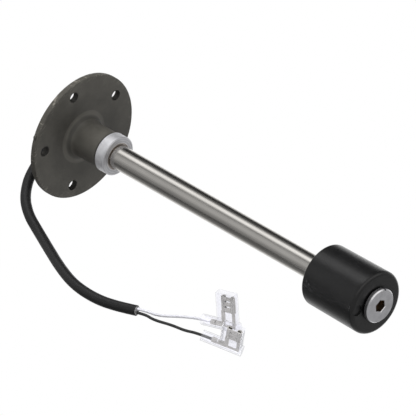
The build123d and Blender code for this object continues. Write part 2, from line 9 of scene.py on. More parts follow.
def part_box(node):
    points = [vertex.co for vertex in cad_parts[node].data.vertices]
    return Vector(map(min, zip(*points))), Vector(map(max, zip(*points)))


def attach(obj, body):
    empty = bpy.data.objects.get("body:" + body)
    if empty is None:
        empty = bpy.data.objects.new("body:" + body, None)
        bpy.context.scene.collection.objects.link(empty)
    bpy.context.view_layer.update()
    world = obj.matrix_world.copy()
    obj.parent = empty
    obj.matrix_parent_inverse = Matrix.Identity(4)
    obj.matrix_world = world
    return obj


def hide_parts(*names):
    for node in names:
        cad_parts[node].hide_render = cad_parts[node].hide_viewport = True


bl_info = {
    "name": "Fuel level sender",
    "version": (1, 0, 0),
    "blender": (4, 5, 0),
    "location": "View3D > Sidebar > Sender",
    "description": "Finishes, cable, terminal boots and studio of a fuel level sender",
    "category": "Object",
}

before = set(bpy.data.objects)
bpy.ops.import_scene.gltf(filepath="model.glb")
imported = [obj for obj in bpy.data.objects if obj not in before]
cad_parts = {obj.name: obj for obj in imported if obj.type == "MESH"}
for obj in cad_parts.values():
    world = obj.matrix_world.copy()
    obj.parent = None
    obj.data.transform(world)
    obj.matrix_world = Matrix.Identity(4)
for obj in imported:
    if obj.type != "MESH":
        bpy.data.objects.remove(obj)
SENDER_BODY = "sender"

# Sizes read from the frame, in metres
FLANGE_LOW, FLANGE_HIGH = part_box("flange")
RIM_RADIUS = FLANGE_HIGH.x
BOSS_END = FLANGE_LOW.z
PLUG_LOW, PLUG_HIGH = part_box("end_plug")
PLUG_RADIUS = PLUG_HIGH.x
FLOAT_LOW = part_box("float_body")[0]
COLLAR_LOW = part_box("gland_collar")[0]

# Screw holes of the flange, the middle one towards +X, in radians and metres
HOLE_STEP = math.radians(70)
HOLE_CIRCLE_RADIUS = 0.027
HOLE_RADIUS = 0.0027

# Rings of painted shade and a painted highlight round the boss: radii over which each fades in, and then
# out, in metres
ROOT_SHADOW = ((0.0106, 0.0108), (0.0116, 0.0124))
ROOT_GLEAM = ((0.0120, 0.0128), (0.0141, 0.0148))
FACE_SHADE = ((0.0142, 0.0150), (0.0200, 0.0260))

# Radii within which metal is stained, and past which it is clean, in metres
COLLAR_STAIN = (0.0069, 0.0075)
SOCKET_STAIN = (0.0034, 0.0040)

BLACK = (0.0, 0.0, 0.0)
WHITE_GLOW = (1.0, 1.0, 1.0, 1.0)
TAN_STAIN = (0.30, 0.24, 0.18)
BROWN_STAIN = (0.26, 0.21, 0.155)
LAMINATE_GREEN = (0.030, 0.150, 0.070)
TRACK_GREEN = (0.06, 0.26, 0.12)

# Stretch of values in which most of a noise lies
NOISE_STRETCH = (0.3, 0.7)

# Points closer than this are one, in metres
WELD_DISTANCE = 0.000001

# Routes of the cable and of its two cores, in metres
CABLE_ROUTE = [
    (-0.0125, 0.0, 0.0135),
    (-0.0280, 0.0, 0.0135),
    (-0.0415, -0.0010, 0.0065),
    (-0.0495, -0.0015, -0.0035),
    (-0.0550, -0.0015, -0.0165),
    (-0.0610, -0.0060, -0.0320),
    (-0.0675, -0.0120, -0.0495),
    (-0.0725, -0.0170, -0.0665),
    (-0.0740, -0.0195, -0.0830),
    (-0.0725, -0.0200, -0.0975),
    (-0.0685, -0.0190, -0.1105),
]
WHITE_ROUTE = [
    (-0.0683, -0.0196, -0.1084),
    (-0.0662, -0.0191, -0.1151),
    (-0.0650, -0.0178, -0.1225),
    (-0.0586, -0.0146, -0.1318),
    (-0.0540, -0.0121, -0.1406),
    (-0.0518, -0.0118, -0.1493),
]
BLACK_ROUTE = [
    (-0.0699, -0.0187, -0.1088),
    (-0.0678, -0.0182, -0.1155),
    (-0.0687, -0.0207, -0.1240),
    (-0.0665, -0.0215, -0.1355),
    (-0.0665, -0.0255, -0.1475),
    (-0.0654, -0.0304, -0.1587),
    (-0.0629, -0.0258, -0.1677),
]

# Real lengths of the two cores, in metres
WHITE_LENGTH = 0.045
BLACK_LENGTH = 0.062

# The camera's turn about Z in degrees, and the point of the object that its axis meets, in metres
CAMERA_AZIMUTH = -13.117
CAMERA_AIM = Vector((0.0100, 0.0435, -0.0573))

# Point of the stem at which the lamps point, in metres
LAMP_AIM = Vector((0.0, 0.0, -0.10))

# Glow of the tent's brightest parts and of the card, where 1 is white
TENT_PEAK = 1.4
CARD_GLOW = 1.6

# Azimuth in degrees from the camera's towards +X, and brightness as a share of the peak
TENT_STOPS = (
    (-180, 0.85),
    (-140, 0.62),
    (-110, 0.17),
    (-78, 0.08),
    (-50, 0.20),
    (-14, 0.40),
    (6, 0.36),
    (22, 0.16),
    (42, 1.00),
    (54, 0.98),
    (72, 0.14),
    (92, 0.02),
    (118, 0.02),
    (136, 0.60),
    (160, 1.00),
)

# The floor's own glow towards the camera, and its share of the floor's look; the rest shows the shadow
FLOOR_GLOW = 0.95
FLOOR_GLOW_SHARE = 0.75


def colour_property(name, description, default):
    """A colour of the sender that a user can change."""
    return FloatVectorProperty(
        name=name, description=description, subtype="COLOR", size=3, min=0, max=1, default=default
    )


def length_property(name, description, default):
    """A length of the sender or its studio, in metres."""
    return FloatProperty(name=name, description=description, unit="LENGTH", precision=4, default=default)


def number_property(name, description, default):
    """A setting of the studio whose description names its unit."""
    return FloatProperty(name=name, description=description, default=default)


class SenderFinish(bpy.types.PropertyGroup):
    """Colours of what shows"""

    moulding: colour_property("Moulding", "Dark warm grey of the flange", (0.0570, 0.0540, 0.0470))
    float_black: colour_property("Float", "Satin black of the float", (0.006, 0.006, 0.0062))
    steel: colour_property("Steel", "Stainless steel of the tube", (0.62, 0.60, 0.57))
    plug_steel: colour_property("Plug", "Stainless steel of the end plug", (0.63, 0.63, 0.65))
    aluminium: colour_property("Aluminium", "Turned aluminium of the gland collar", (0.83, 0.83, 0.86))
    tin: colour_property("Tin", "Tin plate of the terminals", (0.50, 0.485, 0.45))
    jacket: colour_property("Cable", "Black jacket of the cable", (0.006, 0.006, 0.0063))
    white_core: colour_property("White core", "Insulation of the white core", (0.57, 0.57, 0.61))
    black_core: colour_property("Black core", "Insulation of the black core", (0.016, 0.016, 0.016))
    boot: colour_property("Boots", "Clear vinyl of the terminal boots", (0.95, 0.95, 0.98))


class SenderCable(bpy.types.PropertyGroup):
    """Sizes of the cable"""

    jacket_diameter: length_property("Jacket", "Diameter of the cable's jacket", 0.0055)
    core_diameter: length_property("Core", "Diameter of one core", 0.0015)
    filler_diameter: length_property("Filler", "Diameter of the filler in the jacket's cut end", 0.0044)
    boot_softness: length_property("Boot softness", "Rounding of the boots' edges", 0.00022)


class SenderStage(bpy.types.PropertyGroup):
    """Camera, lamps and floor"""

    azimuth: number_property("Azimuth", "Camera's turn about Z, in degrees", CAMERA_AZIMUTH)
    elevation: number_property("Elevation", "Camera's height angle, in degrees", -37.407)
    roll: number_property("Roll", "Camera's roll, in degrees", -60.27)
    distance: length_property("Distance", "From the aim to the camera", 8.0)
    lens: number_property("Lens", "Focal length on a 36 mm sensor, in mm", 1367.3)
    floor_drop: length_property("Floor drop", "From the plug down to the floor", 0.05)
    fill_level: number_property("Fill", "Strength of the even light from all round, 1 is white", 0.21)
    mirror_level: number_property("Mirror", "What polished faces see past the tent, 1 is white", 0.43)


def node(material, kind, inputs=None, **settings):
    """A shader node with its settings, its inputs linked or set."""
    made = material.node_tree.nodes.new("ShaderNode" + kind)
    for key, value in settings.items():
        setattr(made, key, value)
    for key, value in (inputs or {}).items():
        if isinstance(value, bpy.types.NodeSocket):
            material.node_tree.links.new(value, made.inputs[key])
        else:
            made.inputs[key].default_value = value
    return made


def link(material, output, socket):
    """Joins an output to a socket."""
    material.node_tree.links.new(output, socket)


def new_material(name, colour, roughness, metallic=0.0):
    """A material whose even colour and roughness stand on the shader itself."""
    material = bpy.data.materials.new(name)
    material.use_nodes = True
    shader = material.node_tree.nodes["Principled BSDF"]
    shader.inputs["Base Color"].default_value = (*colour, 1.0)
    shader.inputs["Roughness"].default_value = roughness
    shader.inputs["Metallic"].default_value = metallic
    return material, shader


def maths(material, operation, *values):
    """Result of a sum on one to three values, each a number or an output."""
    return node(material, "Math", dict(enumerate(values)), operation=operation).outputs["Value"]


def times(material, first, second):
    """Product of two values."""
    return maths(material, "MULTIPLY", first, second)


def distance_from_origin(material, spot):
    """Length of a vector."""
    return node(material, "VectorMath", {0: spot}, operation="LENGTH").outputs["Value"]


def place(material, scale=(1, 1, 1)):
    """Object coordinates, multiplied by scale along each axis."""
    spot = node(material, "TexCoord").outputs["Object"]
    return node(material, "Mapping", {"Vector": spot, "Scale": scale}).outputs["Vector"]


def stem_radius(material):
    """Distance from the stem's axis, in metres."""
    return distance_from_origin(material, place(material, (1, 1, 0)))


def height(material):
    """Height along the stem, in metres."""
    return node(material, "SeparateXYZ", {0: place(material)}).outputs["Z"]


def ring_place(material):
    """Radius and height as a vector, on which a pattern runs in rings round the stem."""
    ring = node(material, "CombineXYZ", {"X": stem_radius(material), "Y": height(material)})
    return ring.outputs["Vector"]


def hole_distance(material):
    """Distance from the axis of the nearest screw hole, in metres."""
    split = node(material, "SeparateXYZ", {0: place(material)})
    angle = maths(material, "ARCTAN2", split.outputs["Y"], split.outputs["X"])
    from_hole = maths(material, "WRAP", angle, HOLE_STEP / 2, -HOLE_STEP / 2)
    radius = stem_radius(material)
    outward = times(material, radius, maths(material, "COSINE", from_hole))
    past_circle = maths(material, "ADD", outward, -HOLE_CIRCLE_RADIUS)
    sideways = times(material, radius, maths(material, "SINE", from_hole))
    spot = node(material, "CombineXYZ", {"X": past_circle, "Y": sideways}).outputs["Vector"]
    return distance_from_origin(material, spot)


def noise(material, vector, scale, detail=3.0, rough=0.5):
    """Noise from 0 to 1, its scale in grains a metre."""
    inputs = {"Vector": vector, "Scale": scale, "Detail": detail, "Roughness": rough}
    return node(material, "TexNoise", inputs).outputs["Fac"]


def remap(material, value, start, end, low=0.0, high=1.0):
    """Takes a value's stretch from start to end onto low to high, and holds it past them."""
    inputs = {"Value": value, 1: start, 2: end, 3: low, 4: high}
    return node(material, "MapRange", inputs).outputs["Result"]


def fade(material, value, full, gone, most=1.0):
    """A share that is at its most where value is full, and nothing where it is gone."""
    return remap(material, value, gone, full, 0.0, most)


def ring_share(material, radius, ring, most=1.0):
    """A share that fades in over the ring's first pair of radii and out over its second."""
    (starts, full_from), (full_to, ends) = ring
    fading_in = fade(material, radius, full=full_from, gone=starts)
    fading_out = fade(material, radius, full=full_to, gone=ends, most=most)
    return times(material, fading_in, fading_out)


def shade(colour, factor):
    """A colour made darker or lighter by factor."""
    return tuple(min(1.0, channel * factor) for channel in colour)


def mix_colours(material, factor, first, second):
    """Colour between first, at 0, and second, at 1; each is a colour or an output."""
    whole = [c if isinstance(c, bpy.types.NodeSocket) else (*c, 1.0) for c in (first, second)]
    mixed = node(material, "Mix", {0: factor, 6: whole[0], 7: whole[1]}, data_type="RGBA")
    return mixed.outputs[2]


def tint(material, pattern, stretch, colour, before, after):
    """Colour shaded by before where the pattern is below the stretch, and by after above it."""
    share = remap(material, pattern, *stretch)
    return mix_colours(material, share, shade(colour, before), shade(colour, after))


def vary_roughness(material, shader, pattern, low, high):
    """Lets the roughness run from low to high with a noise."""
    varied = remap(material, pattern, *NOISE_STRETCH, low, high)
    link(material, varied, shader.inputs["Roughness"])


def bump(material, shader, heights, distance):
    """Raises the surface by heights times distance, in metres."""
    raised = node(material, "Bump", {"Height": heights, "Distance": distance, "Strength": 1.0})
    link(material, raised.outputs["Normal"], shader.inputs["Normal"])


def moulding_finish(colour):
    """Matt dark moulding: clouds, rim scuffs, painted shade and a painted highlight round the boss,
    painted shade in the holes and at the collar.
    """
    material, shader = new_material("moulding", colour, roughness=0.62)
    shader.inputs["Specular IOR Level"].default_value = 0.35
    radius = stem_radius(material)
    clouds = noise(material, place(material), scale=90.0, detail=4.0, rough=0.6)
    cloudy = tint(material, clouds, (0.35, 0.65), colour, 0.86, 1.12)
    streaks = noise(material, place(material, (260, 2400, 300)), scale=1.0, detail=2.0)
    near_rim = fade(material, radius, full=RIM_RADIUS - 0.001, gone=RIM_RADIUS - 0.004)
    scuffs = times(material, remap(material, streaks, 0.60, 0.68, 0.0, 0.7), near_rim)
    scuffed = mix_colours(material, scuffs, cloudy, shade(colour, 3.2))
    # Painted shade on the flange's face round the boss's root
    face_shade = ring_share(material, radius, FACE_SHADE, most=0.20)
    shaded = mix_colours(material, face_shade, scuffed, BLACK)
    # Painted highlight on the fillet at the boss's root
    gleam = ring_share(material, radius, ROOT_GLEAM)
    gleaming = mix_colours(material, gleam, shaded, shade(colour, 1.28))
    # Painted shade on the inner part of the fillet
    root_shadow = ring_share(material, radius, ROOT_SHADOW, most=0.30)
    shadowed = mix_colours(material, root_shadow, gleaming, BLACK)
    # Painted shade on the screw holes' walls and in a band where the boss meets the collar
    off_hole = hole_distance(material)
    in_hole = fade(material, off_hole, full=HOLE_RADIUS + 0.00005, gone=HOLE_RADIUS + 0.00035)
    at_collar = fade(material, height(material), full=BOSS_END + 0.0006, gone=BOSS_END + 0.0010)
    shade_in_holes_and_joint = maths(material, "MAXIMUM", in_hole, at_collar)
    with_hole_and_joint_shade = mix_colours(material, shade_in_holes_and_joint, shadowed, shade(colour, 0.30))
    link(material, with_hole_and_joint_shade, shader.inputs["Base Color"])
    bump(material, shader, noise(material, place(material), scale=1800.0), distance=0.00003)
    return material


def turned_finish(name, colour, roughness, lines, depth):
    """Lathe-turned metal with rings of height and gloss, its shader, and its mottled colour."""
    material, shader = new_material(name, colour, roughness, metallic=1.0)
    rings = noise(material, ring_place(material), lines, detail=2.0)
    stains = noise(material, place(material), scale=350.0)
    mottled = tint(material, stains, (0.35, 0.7), colour, 1.04, 0.88)
    link(material, mottled, shader.inputs["Base Color"])
    vary_roughness(material, shader, rings, roughness - 0.06, roughness + 0.10)
    bump(material, shader, rings, depth)
    return material, shader, mottled


def collar_finish(colour):
    """Dull turned aluminium, its end face darker and stained tan round the tube."""
    material, shader, turned = turned_finish(
        "collar_aluminium", colour, roughness=0.44, lines=3200.0, depth=0.000012
    )
    shader.inputs["Metallic"].default_value = 0.8
    face = fade(material, height(material), full=COLLAR_LOW.z + 0.0002, gone=COLLAR_LOW.z + 0.0009)
    lines = noise(material, ring_place(material), scale=2200.0, detail=1.0)
    lined = times(material, face, remap(material, lines, 0.4, 0.6, 0.55, 1.0))
    faced = mix_colours(material, lined, turned, shade(colour, 0.53))
    stained_to, clean_from = COLLAR_STAIN
    inward = fade(material, stem_radius(material), full=stained_to, gone=clean_from)
    stained = mix_colours(material, times(material, inward, face), faced, TAN_STAIN)
    link(material, stained, shader.inputs["Base Color"])
    return material


def tube_finish(colour):
    """Drawn stainless tube: hair lines along the stem and a faint satin mottle."""
    material, shader = new_material("tube_steel", colour, roughness=0.22, metallic=1.0)
    hair = noise(material, place(material, (1, 1, 0.012)), scale=5200.0, detail=2.0)
    mottle = noise(material, place(material, (1, 1, 0.2)), scale=240.0)
    mottled = tint(material, mottle, NOISE_STRETCH, colour, 1.03, 0.93)
    link(material, mottled, shader.inputs["Base Color"])
    vary_roughness(material, shader, hair, 0.17, 0.30)
    bump(material, shader, hair, distance=0.000004)
    return material


def plug_finish(colour):
    """Faced stainless plug whose hexagon socket is stained brown inside."""
    material, shader, faced = turned_finish(
        "plug_steel", colour, roughness=0.34, lines=2600.0, depth=0.000006
    )
    stained_to, clean_from = SOCKET_STAIN
    inward = fade(material, stem_radius(material), full=stained_to, gone=clean_from)
    deep = fade(material, height(material), full=PLUG_LOW.z + 0.0012, gone=PLUG_LOW.z + 0.0002)
    stained = mix_colours(material, times(material, inward, deep), faced, BROWN_STAIN)
    link(material, stained, shader.inputs["Base Color"])
    return material


def float_finish(colour):
    """Satin black float: a soft gloss coat, faint dust, and a painted shadow ring round the plug's head.
    """
    material, shader = new_material("float_black", colour, roughness=0.34)
    shader.inputs["Specular IOR Level"].default_value = 0.20
    shader.inputs["Coat Weight"].default_value = 0.40
    shader.inputs["Coat Roughness"].default_value = 0.26
    skin = noise(material, place(material), scale=1400.0, detail=4.0)
    dust = noise(material, place(material), scale=140.0)
    dusty = tint(material, dust, (0.4, 0.75), colour, 1.0, 1.35)
    radius = stem_radius(material)
    # Painted shadow in a ring round the plug's head on the float's end face
    near_plug = fade(material, radius, full=PLUG_RADIUS + 0.0006, gone=PLUG_RADIUS + 0.0016)
    at_end = fade(material, height(material), full=FLOAT_LOW.z + 0.0002, gone=FLOAT_LOW.z + 0.0006)
    shadowed_round_plug = mix_colours(material, times(material, near_plug, at_end), dusty, shade(colour, 0.4))
    link(material, shadowed_round_plug, shader.inputs["Base Color"])
    vary_roughness(material, shader, skin, 0.31, 0.40)
    bump(material, shader, skin, distance=0.000006)
    return material


def plain_finish(name, colour, roughness, metallic=0.0, grains=900.0, depth=0.00001):
    """Even finish with a faint mottle and grain, for rubber, vinyl, plastic and plating."""
    material, shader = new_material(name, colour, roughness, metallic)
    grain = noise(material, place(material), grains)
    mottled = tint(material, grain, NOISE_STRETCH, colour, 0.9, 1.08)
    link(material, mottled, shader.inputs["Base Color"])
    vary_roughness(material, shader, grain, roughness - 0.04, roughness + 0.06)
    bump(material, shader, grain, depth)
    return material


def clear_finish(name, colour, roughness, ior, clearness=1.0):
    """Clear vinyl or glass under a gloss coat, faintly clouded and darker where seen edge-on."""
    material, shader = new_material(name, colour, roughness)
    shader.inputs["Transmission Weight"].default_value = clearness
    shader.inputs["IOR"].default_value = ior
    shader.inputs["Coat Weight"].default_value = 0.25
    shader.inputs["Coat Roughness"].default_value = 0.10
    clouds = noise(material, place(material), scale=500.0)
    edge_on = node(material, "LayerWeight", {"Blend": 0.5}).outputs["Facing"]
    tinted = tint(material, edge_on, (0.48, 0.82), colour, 1.0, 0.50)
    link(material, tinted, shader.inputs["Base Color"])
    vary_roughness(material, shader, clouds, roughness, roughness + 0.05)
    bump(material, shader, clouds, distance=0.00001)
    return material


def board_finish():
    """Green laminate with paler tracks along the board."""
    material, shader = new_material("board_laminate", LAMINATE_GREEN, roughness=0.35)
    tracks = noise(material, place(material, (1, 1, 0.02)), scale=900.0, detail=1.0)
    lined = mix_colours(material, remap(material, tracks, 0.52, 0.56), LAMINATE_GREEN, TRACK_GREEN)
    link(material, lined, shader.inputs["Base Color"])
    bump(material, shader, tracks, distance=0.00003)
    return material


def smooth_node(name):
    """Welds a frame node's triangles on the fly and shades it smooth up to its edges."""
    sharp_angle = math.radians(28)
    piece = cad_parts[name]
    for polygon in piece.data.polygons:
        polygon.use_smooth = True
    weld = piece.modifiers.new("weld", "WELD")
    weld.merge_threshold = WELD_DISTANCE
    split = piece.modifiers.new("edges", "EDGE_SPLIT")
    split.split_angle = sharp_angle
    return piece


def dress(names, material):
    """Gives frame nodes their finish."""
    for name in names:
        piece = smooth_node(name)
        piece.data.materials.clear()
        piece.data.materials.append(material)


def finished_mesh(name, shape):
    """The mesh of a bmesh whose work is done."""
    mesh = bpy.data.meshes.new(name)
    shape.to_mesh(mesh)
    shape.free()
    return mesh


def new_object(name, data):
    """An object of the scene that holds data."""
    made = bpy.data.objects.new(name, data)
    bpy.context.scene.collection.objects.link(made)
    return made


def new_piece(name, data, material):
    """A mesh or curve of the sender's own, in place and on its body."""
    piece = new_object(name, data)
    data.materials.append(material)
    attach(piece, SENDER_BODY)
    return piece


def cord_curve(name, route, diameter):
    """A round cord along one smooth line that the route's points steer."""
    curve = bpy.data.curves.new(name, "CURVE")
    curve.dimensions = "3D"
    curve.bevel_depth = diameter / 2
    curve.bevel_resolution = 8
    curve.resolution_u = 16
    curve.use_fill_caps = True
    spline = curve.splines.new("NURBS")
    spline.points.add(len(route) - 1)
    for point, spot in zip(spline.points, route):
        point.co = (*spot, 1.0)
    spline.order_u = 3
    spline.use_endpoint_u = True
    return curve


def jacket_filler(route, diameter):
    """The cut end of the filler, flush with the jacket's far end and rounded by the cut."""
    end, before = Vector(route[-1]), Vector(route[-2])
    along = (end - before).normalized()
    thickness = diameter / 6
    rounding = thickness / 4
    shape = bmesh.new()
    bmesh.ops.create_cone(
        shape, cap_ends=True, segments=32, radius1=diameter / 2, radius2=diameter / 2, depth=thickness
    )
    rims = [edge for edge in shape.edges if edge.verts[0].co.z * edge.verts[1].co.z > 0]
    bmesh.ops.bevel(
        shape, geom=rims, offset=rounding, offset_type="OFFSET", segments=3, profile=0.5,
        affect="EDGES", material=-1,
    )
    turn = Vector((0, 0, 1)).rotation_difference(along).to_matrix().to_4x4()
    bmesh.ops.transform(shape, matrix=Matrix.Translation(end) @ turn, verts=shape.verts)
    return finished_mesh("jacket_filler", shape)


def soft_copy(name, source, rounding):
    """A moulded copy of a frame node: its edges rounded as soft vinyl is."""
    sharp_angle = math.radians(35)
    shape = bmesh.new()
    shape.from_mesh(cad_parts[source].data)
    bmesh.ops.remove_doubles(shape, verts=shape.verts, dist=WELD_DISTANCE)
    piece = new_object(name, finished_mesh(name, shape))
    soften = piece.modifiers.new("soften", "BEVEL")
    soften.width = rounding
    soften.segments = 3
    soften.limit_method = "ANGLE"
    soften.angle_limit = sharp_angle
    bpy.context.view_layer.update()
    evaluated = piece.evaluated_get(bpy.context.evaluated_depsgraph_get())
    moulded = bpy.data.meshes.new_from_object(evaluated)
    bpy.data.objects.remove(piece)
    moulded.name = name
    # Shaded flat, because smooth shading draws dark lines in the thin clear walls
    for polygon in moulded.polygons:
        polygon.use_smooth = False
    return moulded


class SENDER_OT_flange(bpy.types.Operator):
    """Finish the flange, its potting, seals and strain relief"""

    bl_idname = "sender.flange"
    bl_label = "Flange"

    def execute(self, context):
        finish = context.scene.sender_finish
        dress(["flange"], moulding_finish(tuple(finish.moulding)))
        rubber = plain_finish("relief_rubber", (0.020, 0.020, 0.021), 0.55, grains=1500.0)
        dress(["strain_relief", "tube_seal", "plug_seal"], rubber)
        dress(["potting"], plain_finish("potting_resin", (0.015, 0.015, 0.017), 0.16, grains=160.0))
        return {"FINISHED"}


class SENDER_OT_stem(bpy.types.Operator):
    """Finish the tube, the gland collar and the end plug"""

    bl_idname = "sender.stem"
    bl_label = "Stem"

    def execute(self, context):
        finish = context.scene.sender_finish
        dress(["stem_tube"], tube_finish(tuple(finish.steel)))
        dress(["gland_collar"], collar_finish(tuple(finish.aluminium)))
        dress(["end_plug"], plug_finish(tuple(finish.plug_steel)))
        return {"FINISHED"}


class SENDER_OT_float(bpy.types.Operator):
    """Finish the float and its magnet"""

    bl_idname = "sender.float"
    bl_label = "Float"

    def execute(self, context):
        dress(["float_body"], float_finish(tuple(context.scene.sender_finish.float_black)))
        dress(["float_magnet"], plain_finish("ferrite", (0.045, 0.045, 0.050), 0.5, grains=1200.0))
        return {"FINISHED"}


class SENDER_OT_inside(bpy.types.Operator):
    """Finish the circuit board and what is on it"""

    bl_idname = "sender.inside"
    bl_label = "Inside"

    def execute(self, context):
        finish = context.scene.sender_finish
        dress(["circuit_board"], board_finish())
        dress(["upper_spacer", "lower_spacer"], plain_finish("spacer_plastic", (0.78, 0.76, 0.70), 0.45))
        dress(["insulating_sleeve"], clear_finish("sleeve_film", (0.93, 0.90, 0.80), 0.10, ior=1.45))
        dress(["reed_capsules"], clear_finish("capsule_glass", (0.86, 0.95, 0.90), 0.03, ior=1.5))
        solder = plain_finish("solder", (0.66, 0.66, 0.64), 0.3, metallic=1.0)
        dress(["reed_leads", "solder_joints"], solder)
        dress(["resistors"], plain_finish("resistor_lacquer", (0.60, 0.45, 0.28), 0.3))
        dress(["inner_lead_white"], plain_finish("inner_white", tuple(finish.white_core), 0.45))
        dress(["inner_lead_black"], plain_finish("inner_black", tuple(finish.black_core), 0.45))
        return {"FINISHED"}


class SENDER_OT_terminals(bpy.types.Operator):
    """Finish the flag terminals and mould their clear boots"""

    bl_idname = "sender.terminals"
    bl_label = "Terminals"

    def execute(self, context):
        finish = context.scene.sender_finish
        softness = context.scene.sender_cable.boot_softness
        tin = plain_finish(
            "terminal_tin", tuple(finish.tin), 0.32, metallic=1.0, grains=700.0, depth=0.00002
        )
        dress(["white_terminal", "black_terminal"], tin)
        vinyl = clear_finish("boot_vinyl", tuple(finish.boot), 0.02, ior=1.02, clearness=0.95)
        for side in ("white", "black"):
            mesh = soft_copy(side + "_boot_soft", side + "_boot", softness)
            piece = new_piece(side + "_boot_soft", mesh, vinyl)
            piece.visible_shadow = False
            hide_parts(side + "_boot")
        return {"FINISHED"}


class SENDER_OT_cable(bpy.types.Operator):
    """Lay the cable and its two cores out to the terminals"""

    bl_idname = "sender.cable"
    bl_label = "Cable"

    def execute(self, context):
        finish = context.scene.sender_finish
        sizes = context.scene.sender_cable
        black = plain_finish("jacket_vinyl", tuple(finish.jacket), 0.48, grains=1100.0, depth=0.00002)
        curve = cord_curve("cable_jacket_soft", CABLE_ROUTE, sizes.jacket_diameter)
        jacket = new_piece("cable_jacket_soft", curve, black)
        grey = plain_finish("filler", (0.22, 0.22, 0.22), 0.6, grains=2500.0, depth=0.00008)
        mesh = jacket_filler(CABLE_ROUTE, sizes.filler_diameter)
        filler = new_piece("jacket_filler", mesh, grey)
        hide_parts("cable_jacket")
        cores = (
            ("white", WHITE_ROUTE, WHITE_LENGTH, finish.white_core, 0.38),
            ("black", BLACK_ROUTE, BLACK_LENGTH, finish.black_core, 0.40),
        )
        for side, route, length, colour, roughness in cores:
            vinyl = plain_finish(side + "_core_vinyl", tuple(colour), roughness)
            curve = cord_curve(side + "_wire_soft", route, sizes.core_diameter)
            core = new_piece(side + "_wire_soft", curve, vinyl)
            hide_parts(side + "_wire")
        return {"FINISHED"}


def direction(azimuth, elevation):
    """Unit vector from the object towards an azimuth and elevation in degrees."""
    turn, rise = math.radians(azimuth), math.radians(elevation)
    return Vector((math.sin(turn) * math.cos(rise), -math.cos(turn) * math.cos(rise), math.sin(rise)))


def camera_matrix(stage):
    """Place and axes of the photograph's camera."""
    back = direction(stage.azimuth, stage.elevation)
    level = Vector((0, 0, 1)).cross(back).normalized()
    roll = math.radians(stage.roll)
    right = level * math.cos(roll) + back.cross(level) * math.sin(roll)
    axes = Matrix((right, back.cross(right), back)).transposed().to_4x4()
    return Matrix.Translation(CAMERA_AIM + back * stage.distance) @ axes


def add_camera(stage):
    """Long-lens camera at the photograph's viewing angle."""
    data = bpy.data.cameras.new("camera")
    data.sensor_width = 36.0
    data.lens = stage.lens
    data.clip_start = 0.1
    data.clip_end = 60.0
    camera = new_object("camera", data)
    camera.matrix_world = camera_matrix(stage)
    bpy.context.scene.camera = camera


def add_lamp(name, azimuth, elevation, distance, width, height, power):
    """Rectangular soft lamp that points at the stem and isn't seen itself."""
    data = bpy.data.lights.new(name, "AREA")
    data.shape = "RECTANGLE"
    data.size = width
    data.size_y = height
    data.energy = power
    lamp = new_object(name, data)
    back = direction(azimuth, elevation)
    lamp.location = LAMP_AIM + back * distance
    lamp.rotation_euler = back.to_track_quat("Z", "Y").to_euler()
    lamp.visible_glossy = False
    lamp.visible_transmission = False
    lamp.visible_camera = False


def bare_material(name):
    """A material without a shader, and the socket that takes its surface."""
    material = bpy.data.materials.new(name)
    material.use_nodes = True
    nodes = material.node_tree.nodes
    nodes.remove(nodes["Principled BSDF"])
    return material, nodes["Material Output"].inputs["Surface"]


def glow(material, colour, strength):
    """Output of an even glow."""
    return node(material, "Emission", {"Color": colour, "Strength": strength}).outputs["Emission"]


def keep_to_reflections(piece):
    """Lets a glowing piece of the studio show in polished faces alone."""
    piece.visible_camera = False
    piece.visible_diffuse = False
    piece.visible_transmission = False
    piece.visible_shadow = False


def tent_position(azimuth):
    """Place of an azimuth on the tent's colour ramp, whose seam is behind the sender."""
    return 0.5 + math.radians(azimuth) / (2 * math.pi)


def mix_axes(material, split, share_x, share_y):
    """Sum of the X and Y of a split vector, each times its share."""
    first = times(material, split.outputs["X"], share_x)
    second = times(material, split.outputs["Y"], share_y)
    return maths(material, "ADD", first, second)


def tent_finish():
    """Glow of the tent by azimuth: white behind, dark flags at both sides, a soft key strip."""
    material, surface = bare_material("tent_glow")
    split = node(material, "SeparateXYZ", {0: place(material)})
    ahead = math.radians(CAMERA_AZIMUTH)
    across = mix_axes(material, split, math.cos(ahead), math.sin(ahead))
    toward = mix_axes(material, split, math.sin(ahead), -math.cos(ahead))
    angle = maths(material, "ARCTAN2", across, toward)
    ramp = node(material, "ValToRGB", {0: remap(material, angle, -math.pi, math.pi)})
    ramp.color_ramp.interpolation = "EASE"
    stops = ramp.color_ramp.elements
    for index, (azimuth, brightness) in enumerate(TENT_STOPS):
        stop = stops[index] if index < 2 else stops.new(1.0)
        stop.position = tent_position(azimuth)
        stop.color = (brightness, brightness, brightness, 1.0)
    link(material, glow(material, ramp.outputs["Color"], TENT_PEAK), surface)
    return material


def add_tent():
    """Round tent about the stem that shows in polished faces alone."""
    tent_radius, tent_low, tent_high, tent_sides = 0.42, -0.24, 0.70, 64
    shape = bmesh.new()
    bmesh.ops.create_cone(
        shape, cap_ends=False, segments=tent_sides, radius1=tent_radius, radius2=tent_radius,
        depth=tent_high - tent_low,
    )
    bmesh.ops.translate(shape, vec=(0, 0, (tent_low + tent_high) / 2), verts=shape.verts)
    mesh = finished_mesh("tent", shape)
    mesh.materials.append(tent_finish())
    tent = new_object("tent", mesh)
    keep_to_reflections(tent)


def card_finish():
    """Even glow of the card, a little warm."""
    material, surface = bare_material("card_glow")
    link(material, glow(material, (1.0, 0.98, 0.96, 1.0), CARD_GLOW), surface)
    return material


